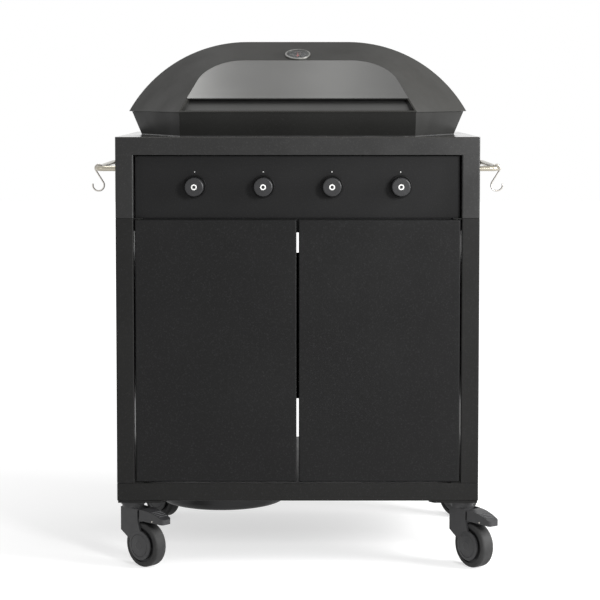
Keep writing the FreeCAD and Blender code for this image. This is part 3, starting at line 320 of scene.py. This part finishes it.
def machined_brass(name, tone, aged_tone):
    """Turned brass that has started to dull."""
    material, tree, shader = new_finish(name)
    aged = spread(tree, grain(tree, scale=70.0, detail=4.0))
    tint(tree, shader, aged, tone, aged_tone)
    dull(tree, shader, grain(tree, scale=150.0), low=0.24, high=0.42)
    shader.inputs["Metallic"].default_value = 1.0
    return material


brass = machined_brass("machined_brass", (0.56, 0.41, 0.17), (0.34, 0.24, 0.10))
paint(brass, "gas_inlet", "gas_valves")
zinc = zinc_plate("zinc_plate", (0.36, 0.36, 0.35))
paint(zinc, "gas_manifold")
paint(hook_steel, "valve_stem_1", "valve_stem_2", "valve_stem_3", "valve_stem_4")

# Knobs: tapered black plastic knobs, pushed on the valve stems.
# Each is inside a raised plastic ring that is glued to the control panel, made near black: its own
# black deepened as painted shade around the knob.
# A white ring is printed on each face, and a white dot on the panel marks the closed position.


def new_piece(name, shape):
    """An object in the scene, from its mesh, light or camera."""
    piece = bpy.data.objects.new(name, shape)
    bpy.context.scene.collection.objects.link(piece)
    return piece


def piece_from(name, faces):
    """A piece from faces that were drawn one by one."""
    bmesh.ops.recalc_face_normals(faces, faces=faces.faces[:])
    shape = bpy.data.meshes.new(name)
    faces.to_mesh(shape)
    faces.free()
    return new_piece(name, shape)


def turned(name, centre, across, up, profile, hollow, steps):
    """Round piece turned on an axis, from the radius and height of each ring of its profile."""
    out = across.cross(up)
    mesh = bmesh.new()
    rows = []
    for radius, height in profile:
        row = []
        for i in range(steps):
            angle = 2.0 * math.pi * i / steps
            spoke = across * math.cos(angle) + up * math.sin(angle)
            row.append(mesh.verts.new(centre + spoke * radius + out * height))
        rows.append(row)
    joined = rows + rows[:1] if hollow else rows
    for low, high in zip(joined, joined[1:]):
        for i in range(steps):
            j = (i + 1) % steps
            mesh.faces.new((low[i], low[j], high[j], high[i]))
    if not hollow:
        mesh.faces.new(rows[-1])
        mesh.faces.new(list(reversed(rows[0])))
    return piece_from(name, mesh)


def ring_plate(name, centre, across, up, inner, outer, thick, steps):
    """Thin flat ring that stands proud of a face, or a disc where the inner radius is 0."""
    side, bevel = 0.6 * thick, 0.4 * thick
    profile = [(outer, 0.0), (outer, side), (outer - bevel, thick)]
    if inner > 0.0:
        profile += [(inner + bevel, thick), (inner, side), (inner, 0.0)]
    return turned(name, centre, across, up, profile, inner > 0.0, steps)


def printed_ink(name, tone):
    """Pad-printed ink with a faintly uneven tone."""
    material, tree, shader = new_finish(name)
    tint(tree, shader, spread(tree, grain(tree, scale=900.0)), shade(tone, 0.86), tone)
    shader.inputs["Roughness"].default_value = 0.5
    return material


right_way, up_way = Vector((1, 0, 0)), Vector((0, 0, 1))
print_depth = 0.00025
mark_inner, mark_outer, mark_steps = 0.0038, 0.0064, 48
dot_radius, dot_rise, dot_steps = 0.0012, 0.0325, 24
solid_disc = 0.0
knob_black = moulded_plastic("knob_plastic", (0.012, 0.012, 0.013), roughness=0.36, gloss=0.36)
# The ring is made near black, darker than the knobs, as painted shade around each knob on top of
# its own black.
ring_black_and_shade = moulded_plastic("knob_ring_black_and_shade", (0.003, 0.003, 0.003), roughness=0.4, gloss=0.12)
white_ink = printed_ink("white_ink", (0.90, 0.90, 0.88))
paint(ring_black_and_shade, "knob_bezels")
panel_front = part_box("control_panel")[0].y
for number in ("1", "2", "3", "4"):
    paint(knob_black, "knob_" + number)
    low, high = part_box("knob_" + number)
    face = Vector(((low.x + high.x) / 2, low.y, (low.z + high.z) / 2))
    mark_name = "knob_mark_" + number
    mark = ring_plate(
        mark_name, face, right_way, up_way, mark_inner, mark_outer, print_depth, mark_steps
    )
    mark.data.materials.append(white_ink)
    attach(mark, "knob_" + number)
    above = Vector((face.x, panel_front, face.z + dot_rise))
    dot_name = "panel_dot_" + number
    dot = ring_plate(
        dot_name, above, right_way, up_way, solid_disc, dot_radius, print_depth, dot_steps
    )
    dot.data.materials.append(white_ink)
    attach(dot, "cart")

# Drip tray: a shallow folded tray that slides out at the back on two angle runners.
# Tray and runners are plain zinc-coated sheet.
tray_zinc = zinc_plate("tray_zinc", (0.40, 0.40, 0.39))
paint(tray_zinc, "drip_tray", "tray_runners")

# Collar and lid: a six-sided collar on the worktop, and a faceted lid that closes on it.
# Both are sheet steel, enamelled in a satin black that is slightly warmer than the cart.
# The front panel and the channel of the grip are dark satin steel, and the hinges are zinc plated.
lid_tone, lid_wear_and_highlight = (0.025, 0.0245, 0.0222), (0.045, 0.044, 0.041)
lid_black = powder_coat("lid_enamel", lid_tone, lid_wear_and_highlight, roughness=0.38, gloss=0.08)
paint(lid_black, "lid_shell")
collar_tone, collar_wear_and_highlight = (0.020, 0.020, 0.019), (0.036, 0.036, 0.035)
collar_black = powder_coat("collar_enamel", collar_tone, collar_wear_and_highlight, roughness=0.42, gloss=0.05)
paint(collar_black, "collar")


def satin_plate(name, tone, roughness):
    """Dark satin steel with faint rolling lines across it."""
    rolled_across = (0.15, 8.0, 8.0)
    material, tree, shader = new_finish(name)
    line = grain(tree, scale=60.0, detail=4.0, stretch=rolled_across)
    tint(tree, shader, spread(tree, grain(tree, scale=6.0)), tone, shade(tone, 1.12))
    dull(tree, shader, line, roughness - 0.006, roughness + 0.008)
    shader.inputs["Metallic"].default_value = 1.0
    roughen(tree, shader, line, depth=0.00001, strength=0.012)
    return material


panel_steel = satin_plate("lid_panel_steel", (0.131, 0.131, 0.128), roughness=0.26)
paint(panel_steel, "lid_front_panel")
grip_steel = satin_plate("lid_grip_steel", (0.10, 0.10, 0.098), roughness=0.4)
paint(grip_steel, "lid_grip")
paint(zinc, "lid_hinge_brackets", "lid_hinge_arms")

# Thermometer: a dark chromed cup let into the lid's upper facet, with its probe inside the lid.
# It has a lacquered red needle under a flat glass.
# The black dial is a printed plate with scale strokes and plain numbers.


def dark_chrome(name, tone):
    """Dark chrome with faint wiping marks."""
    material, tree, shader = new_finish(name)
    wipe = grain(tree, scale=200.0)
    tint(tree, shader, spread(tree, wipe), tone, shade(tone, 1.1))
    dull(tree, shader, wipe, low=0.36, high=0.44)
    shader.inputs["Metallic"].default_value = 1.0
    return material


def clear_glass(name):
    """Thin window glass with a trace of dust."""
    material, tree, shader = new_finish(name)
    dull(tree, shader, grain(tree, scale=500.0), low=0.0, high=0.06)
    shader.inputs["Base Color"].default_value = (0.95, 0.97, 0.96, 1.0)
    shader.inputs["Transmission Weight"].default_value = 1.0
    shader.inputs["IOR"].default_value = 1.15
    return material


def lacquer(name, tone, roughness, gloss):
    """Sprayed lacquer with a slightly cloudy tone."""
    material, tree, shader = new_finish(name)
    tint(tree, shader, spread(tree, grain(tree, scale=400.0)), shade(tone, 0.8), tone)
    shader.inputs["Roughness"].default_value = roughness
    shader.inputs["Specular IOR Level"].default_value = gloss
    return material


def joint_named(name):
    """A joint of the frame, by its name."""
    return [joint for joint in frame["joints"] if joint["name"] == name][0]


paint(dark_chrome("case_chrome", (0.20, 0.20, 0.19)), "thermometer_case")
paint(clear_glass("dial_glass"), "thermometer_glass")
needle_red = lacquer("needle_red", (0.34, 0.03, 0.025), roughness=0.4, gloss=0.2)
paint(needle_red, "thermometer_needle")

needle_joint = joint_named("gauge_needle_turn")
gauge_out = -Vector(needle_joint["axis"]).normalized()
gauge_up = gauge_out.cross(right_way)
needle_over_dial = 0.0017
needle_hole, dial_radius, dial_thick, dial_steps = 0.0018, 0.0243, 0.0004, 64
dial_foot = Vector(needle_joint["pos_m"]) - gauge_out * needle_over_dial
dial_name = "thermometer_dial"
dial = ring_plate(
    dial_name, dial_foot, right_way, gauge_up, needle_hole, dial_radius, dial_thick, dial_steps
)
dial.data.materials.append(lacquer("dial_black", (0.010, 0.010, 0.011), roughness=0.6, gloss=0.08))
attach(dial, "lid")

grey_ink = printed_ink("grey_ink", (0.22, 0.22, 0.21))
ink_proud = 0.0001
scale_sweep = math.radians(270.0)
scale_strokes, strokes_to_long, strokes_to_number = 28, 4, 8
stroke_reach = 0.0232
stroke_short, stroke_long = 0.0022, 0.0042
stroke_half, stroke_half_long = 0.00022, 0.0004
print_top = dial_foot + gauge_out * (dial_thick + ink_proud)


def scale_spoke(stroke):
    """Direction on the dial of a stroke, counted clockwise from the lower left."""
    turn = scale_sweep * (stroke / scale_strokes - 0.5)
    return gauge_up * math.cos(turn) + right_way * math.sin(turn)


strokes = bmesh.new()
for stroke in range(scale_strokes + 1):
    spoke = scale_spoke(stroke)
    side = spoke.cross(gauge_out)
    is_long = stroke % strokes_to_long == 0
    half = stroke_half_long if is_long else stroke_half
    inner = stroke_reach - (stroke_long if is_long else stroke_short)
    outline = ((inner, -half), (stroke_reach, -half), (stroke_reach, half), (inner, half))
    corners = []
    for height in (-dial_thick / 2, 0.0):
        for reach, edge in outline:
            place = print_top + spoke * reach + side * edge + gauge_out * height
            corners.append(strokes.verts.new(place))
    strokes.faces.new(corners[4:])
    strokes.faces.new(list(reversed(corners[:4])))
    for a in range(4):
        b = (a + 1) % 4
        strokes.faces.new((corners[a], corners[b], corners[4 + b], corners[4 + a]))
stroke_piece = piece_from("dial_strokes", strokes)
stroke_piece.data.materials.append(grey_ink)
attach(stroke_piece, "lid")

number_reach, number_size = 0.0155, 0.0046
first_number, number_step = 50, 100
facing = Matrix((right_way, gauge_up, gauge_out)).transposed().to_4x4()
for count in range(scale_strokes // strokes_to_number + 1):
    spoke = scale_spoke(count * strokes_to_number)
    digits = bpy.data.curves.new("dial_digits", "FONT")
    digits.body = str(first_number + number_step * count)
    digits.size = number_size
    digits.align_x, digits.align_y = "CENTER", "CENTER"
    digits.extrude = dial_thick / 4
    written = new_piece("dial_digits", digits)
    bpy.context.view_layer.update()
    drawn = written.evaluated_get(bpy.context.evaluated_depsgraph_get())
    shape = bpy.data.meshes.new_from_object(drawn)
    bpy.data.objects.remove(written)
    shape.transform(Matrix.Translation(print_top + spoke * number_reach) @ facing)
    shape.name = "dial_number_" + str(count + 1)
    number_piece = new_piece(shape.name, shape)
    shape.materials.clear()
    shape.materials.append(grey_ink)
    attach(number_piece, "lid")

# Casters: a steel plate welded under each corner, a moulded swivel fork and a rubber-tyred wheel.
# Each fork cheek ends in a round cover with a groove in it, over the wheel's core.
# The core is hard moulded plastic, darker than the tyre.


def tyred_wheel(name, axle, axle_way, core_radius):
    """Dark moulded core inside a dull rubber tyre, told apart by the distance from the axle."""
    seam_half = 0.0002
    rubber_tone, rubber_dusty = (0.026, 0.026, 0.026), (0.042, 0.042, 0.042)
    core_tone, core_dusty = (0.020, 0.020, 0.021), (0.030, 0.030, 0.031)
    material, tree, shader = new_finish(name)
    place = tree.nodes.new("ShaderNodeTexCoord").outputs["Object"]
    offset = vector_step(tree, "SUBTRACT", place, axle).outputs["Vector"]
    swept = vector_step(tree, "CROSS_PRODUCT", offset, axle_way).outputs["Vector"]
    reach = vector_step(tree, "LENGTH", swept).outputs["Value"]
    tyre = spread(tree, reach, start=core_radius - seam_half, end=core_radius + seam_half)
    dust = spread(tree, grain(tree, scale=45.0, detail=4.0))
    rubber = blend_colours(tree, dust, rubber_tone, rubber_dusty)
    core = blend_colours(tree, dust, core_tone, core_dusty)
    tint(tree, shader, tyre, core, rubber)
    sheen = spread(tree, tyre, low=0.42, high=0.62, start=0.0, end=1.0)
    tree.links.new(sheen, shader.inputs["Roughness"])
    shader.inputs["Specular IOR Level"].default_value = 0.2
    roughen(tree, shader, grain(tree, scale=800.0, detail=2.0), depth=0.00008, strength=0.35)
    return material


tyre_inner = 0.039
cover_radius, cover_round, cover_steps = 0.033, 0.0012, 64
cover_boss, boss_edge, boss_rise = 0.009, 0.001, 0.0006
cover_foot, cover_rim, cover_top = 0.0174, 0.0212, 0.0252
cover_groove, groove_half, groove_depth = 0.0252, 0.0006, 0.0008
shoulder_rise = 0.001
cover_shoulder = cover_rim + shoulder_rise
cover_crease = math.radians(20.0)
cover_profile = [
    (cover_radius, cover_foot),
    (cover_radius, cover_rim),
    (cover_radius - cover_round, cover_shoulder),
    (cover_groove + 2 * groove_half, cover_shoulder + groove_depth),
    (cover_groove + groove_half, cover_shoulder),
    (cover_groove - groove_half, cover_shoulder),
    (cover_groove - 2 * groove_half, cover_shoulder + groove_depth),
    (cover_boss + boss_edge, cover_top - boss_rise),
    (cover_boss, cover_top),
]
fork_plastic = moulded_plastic("fork_plastic", (0.022, 0.022, 0.023), roughness=0.42)
paint(frame_black, "caster_plates")
for corner in ("front_left", "front_right", "rear_left", "rear_right"):
    roll = joint_named("wheel_" + corner + "_roll")
    axle_way = Vector(roll["axis"]).normalized()
    wheel_finish = tyred_wheel("wheel_" + corner, Vector(roll["pos_m"]), axle_way, tyre_inner)
    paint(wheel_finish, "wheel_" + corner)
    paint(fork_plastic, "fork_" + corner)
    wheel_middle = middle_of(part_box("wheel_" + corner))
    for side, way in (("one", axle_way), ("two", -axle_way)):
        name = "fork_cover_" + corner + "_" + side
        ahead = up_way.cross(way)
        cover = turned(name, wheel_middle, ahead, up_way, cover_profile, False, cover_steps)
        cover.data.shade_smooth()
        cover.data.set_sharp_from_angle(angle=cover_crease)
        cover.data.materials.append(fork_plastic)
        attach(cover, "swivel_" + corner)

# Brake pedals: moulded plastic hoods over the two front wheels, hinged in the forks.
# A steel pin goes through each hood, and its bright domed ends show low on the hood's sides.
pedal_plastic = moulded_plastic("pedal_plastic", (0.020, 0.020, 0.021), roughness=0.38)
paint(pedal_plastic, "pedal_front_left", "pedal_front_right")

pin_radius, pin_steps = 0.0019, 24
pin_sunk, pin_rim, pin_dome, pin_top = 0.001, 0.0003, 0.0007, 0.0009
pin_reach, pin_height, pin_half = 0.078, 0.1085, 0.0167
pin_profile = [
    (pin_radius, -pin_sunk),
    (pin_radius, pin_rim),
    (0.8 * pin_radius, pin_dome),
    (0.4 * pin_radius, pin_top),
]
for corner in ("front_left", "front_right"):
    swivel_foot = Vector(joint_named("swivel_" + corner + "_turn")["pos_m"])
    swivel_foot.z = 0.0
    trail = middle_of(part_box("wheel_" + corner)) - swivel_foot
    trail.z = 0.0
    ahead = trail.normalized()
    pin_middle = swivel_foot + ahead * pin_reach + up_way * pin_height
    for side, way in (("one", up_way.cross(ahead)), ("two", ahead.cross(up_way))):
        name = "pedal_pin_" + corner + "_" + side
        place = pin_middle + way * pin_half
        pin = turned(name, place, up_way.cross(way), up_way, pin_profile, False, pin_steps)
        pin.data.shade_smooth()
        pin.data.materials.append(hook_steel)
        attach(pin, "pedal_" + corner)

# Studio: a plain white paper floor that runs into a white background.
# Both are white to the camera, in a shine and through glass, and light the grill softly otherwise.


def background_seen(tree):
    """A mask that is 1 for what is seen straight, through glass or in a shine."""
    path = tree.nodes.new("ShaderNodeLightPath")
    seen = path.outputs["Is Camera Ray"]
    for ray in ("Is Transmission Ray", "Is Glossy Ray"):
        either = tree.nodes.new("ShaderNodeMath")
        either.operation = "MAXIMUM"
        tree.links.new(seen, either.inputs[0])
        tree.links.new(path.outputs[ray], either.inputs[1])
        seen = either.outputs["Value"]
    return seen


floor_half = 14.0
near_glow, far_glow, near_reach, far_reach = 0.6, 1.0, 0.5, 3.5
floor_mesh = bpy.data.meshes.new("floor")
floor_corners = [(-floor_half, -floor_half, 0.0), (floor_half, -floor_half, 0.0)]
floor_corners += [(floor_half, floor_half, 0.0), (-floor_half, floor_half, 0.0)]
floor_mesh.from_pydata(floor_corners, [], [(0, 1, 2, 3)])
floor = new_piece("floor", floor_mesh)
paper, tree, shader = new_finish("floor_paper")
shader.inputs["Base Color"].default_value = (0.55, 0.55, 0.55, 1.0)
shader.inputs["Roughness"].default_value = 0.9
shader.inputs["Specular IOR Level"].default_value = 0.0
shader.inputs["Emission Color"].default_value = (1.0, 1.0, 1.0, 1.0)
floor_place = tree.nodes.new("ShaderNodeTexCoord").outputs["Object"]
floor_reach = vector_step(tree, "LENGTH", floor_place).outputs["Value"]
paper_level = spread(tree, floor_reach, near_glow, far_glow, near_reach, far_reach)
glow = tree.nodes.new("ShaderNodeMath")
glow.operation = "MULTIPLY"
tree.links.new(background_seen(tree), glow.inputs[0])
tree.links.new(paper_level, glow.inputs[1])
tree.links.new(glow.outputs["Value"], shader.inputs["Emission Strength"])
floor_mesh.materials.append(paper)

sky_light, sky_white = 0.42, 1.0
world = bpy.data.worlds.new("studio")
bpy.context.scene.world = world
world.use_nodes = True
sky_tree = world.node_tree
sky = sky_tree.nodes["Background"]
sky.inputs["Color"].default_value = (1.0, 1.0, 1.0, 1.0)
sky_level = spread(sky_tree, background_seen(sky_tree), sky_light, sky_white, start=0.0, end=1.0)
sky_tree.links.new(sky_level, sky.inputs["Strength"])

# Lights and camera: two soft boxes above the lid, one in front to the right, a tall one to the
# right, and a weak fill to the left.
# The camera stands straight in front, level with the lid, and looks slightly down.


def soft_box(name, place, target, width, height, power):
    """Soft box that faces a point."""
    data = bpy.data.lights.new(name, "AREA")
    data.shape = "RECTANGLE"
    data.size, data.size_y = width, height
    data.energy = power
    lamp = new_piece(name, data)
    lamp.location = place
    lamp.rotation_mode = "QUATERNION"
    lamp.rotation_quaternion = (Vector(target) - Vector(place)).to_track_quat("-Z", "Y")
    lamp.visible_camera = False


for name, place, target, width, height, power in (
    ("overhead_left_box", (-0.6, 0.35, 2.9), (-0.6, 0.3, 0.0), 0.5, 1.6, 9.5),
    ("overhead_right_box", (0.12, 0.35, 2.9), (0.12, 0.3, 0.0), 0.16, 1.6, 1.1),
    ("front_right_box", (1.25, -2.6, 1.42), (0.3, 0.0, 0.8), 0.5, 0.6, 51.0),
    ("right_soft_box", (2.4, -0.9, 1.5), (0.3, 0.0, 1.0), 1.1, 1.6, 98.0),
    ("left_fill", (-2.8, -1.6, 1.4), (0.0, 0.0, 0.6), 1.4, 1.4, 5.0),
):
    soft_box(name, place, target, width, height, power)

image_side = 600.0
focal_pixels = 1888.6
shift_pixels = 84.0
pitch = 0.0648
camera_distance = 4.1867
camera_aside = 0.0053
eye_height = 1.0621
sensor_width = 36.0
camera_data = bpy.data.cameras.new("camera")
camera_data.sensor_width = sensor_width
camera_data.lens = sensor_width * focal_pixels / image_side
camera_data.shift_y = -shift_pixels / image_side
camera = new_piece("camera", camera_data)
camera.location = (camera_aside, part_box("base_rails")[0].y - camera_distance, eye_height)
camera.rotation_euler = (math.pi / 2 - pitch, 0.0, 0.0)
bpy.context.scene.camera = camera
bpy.context.scene.view_settings.view_transform = "Standard"
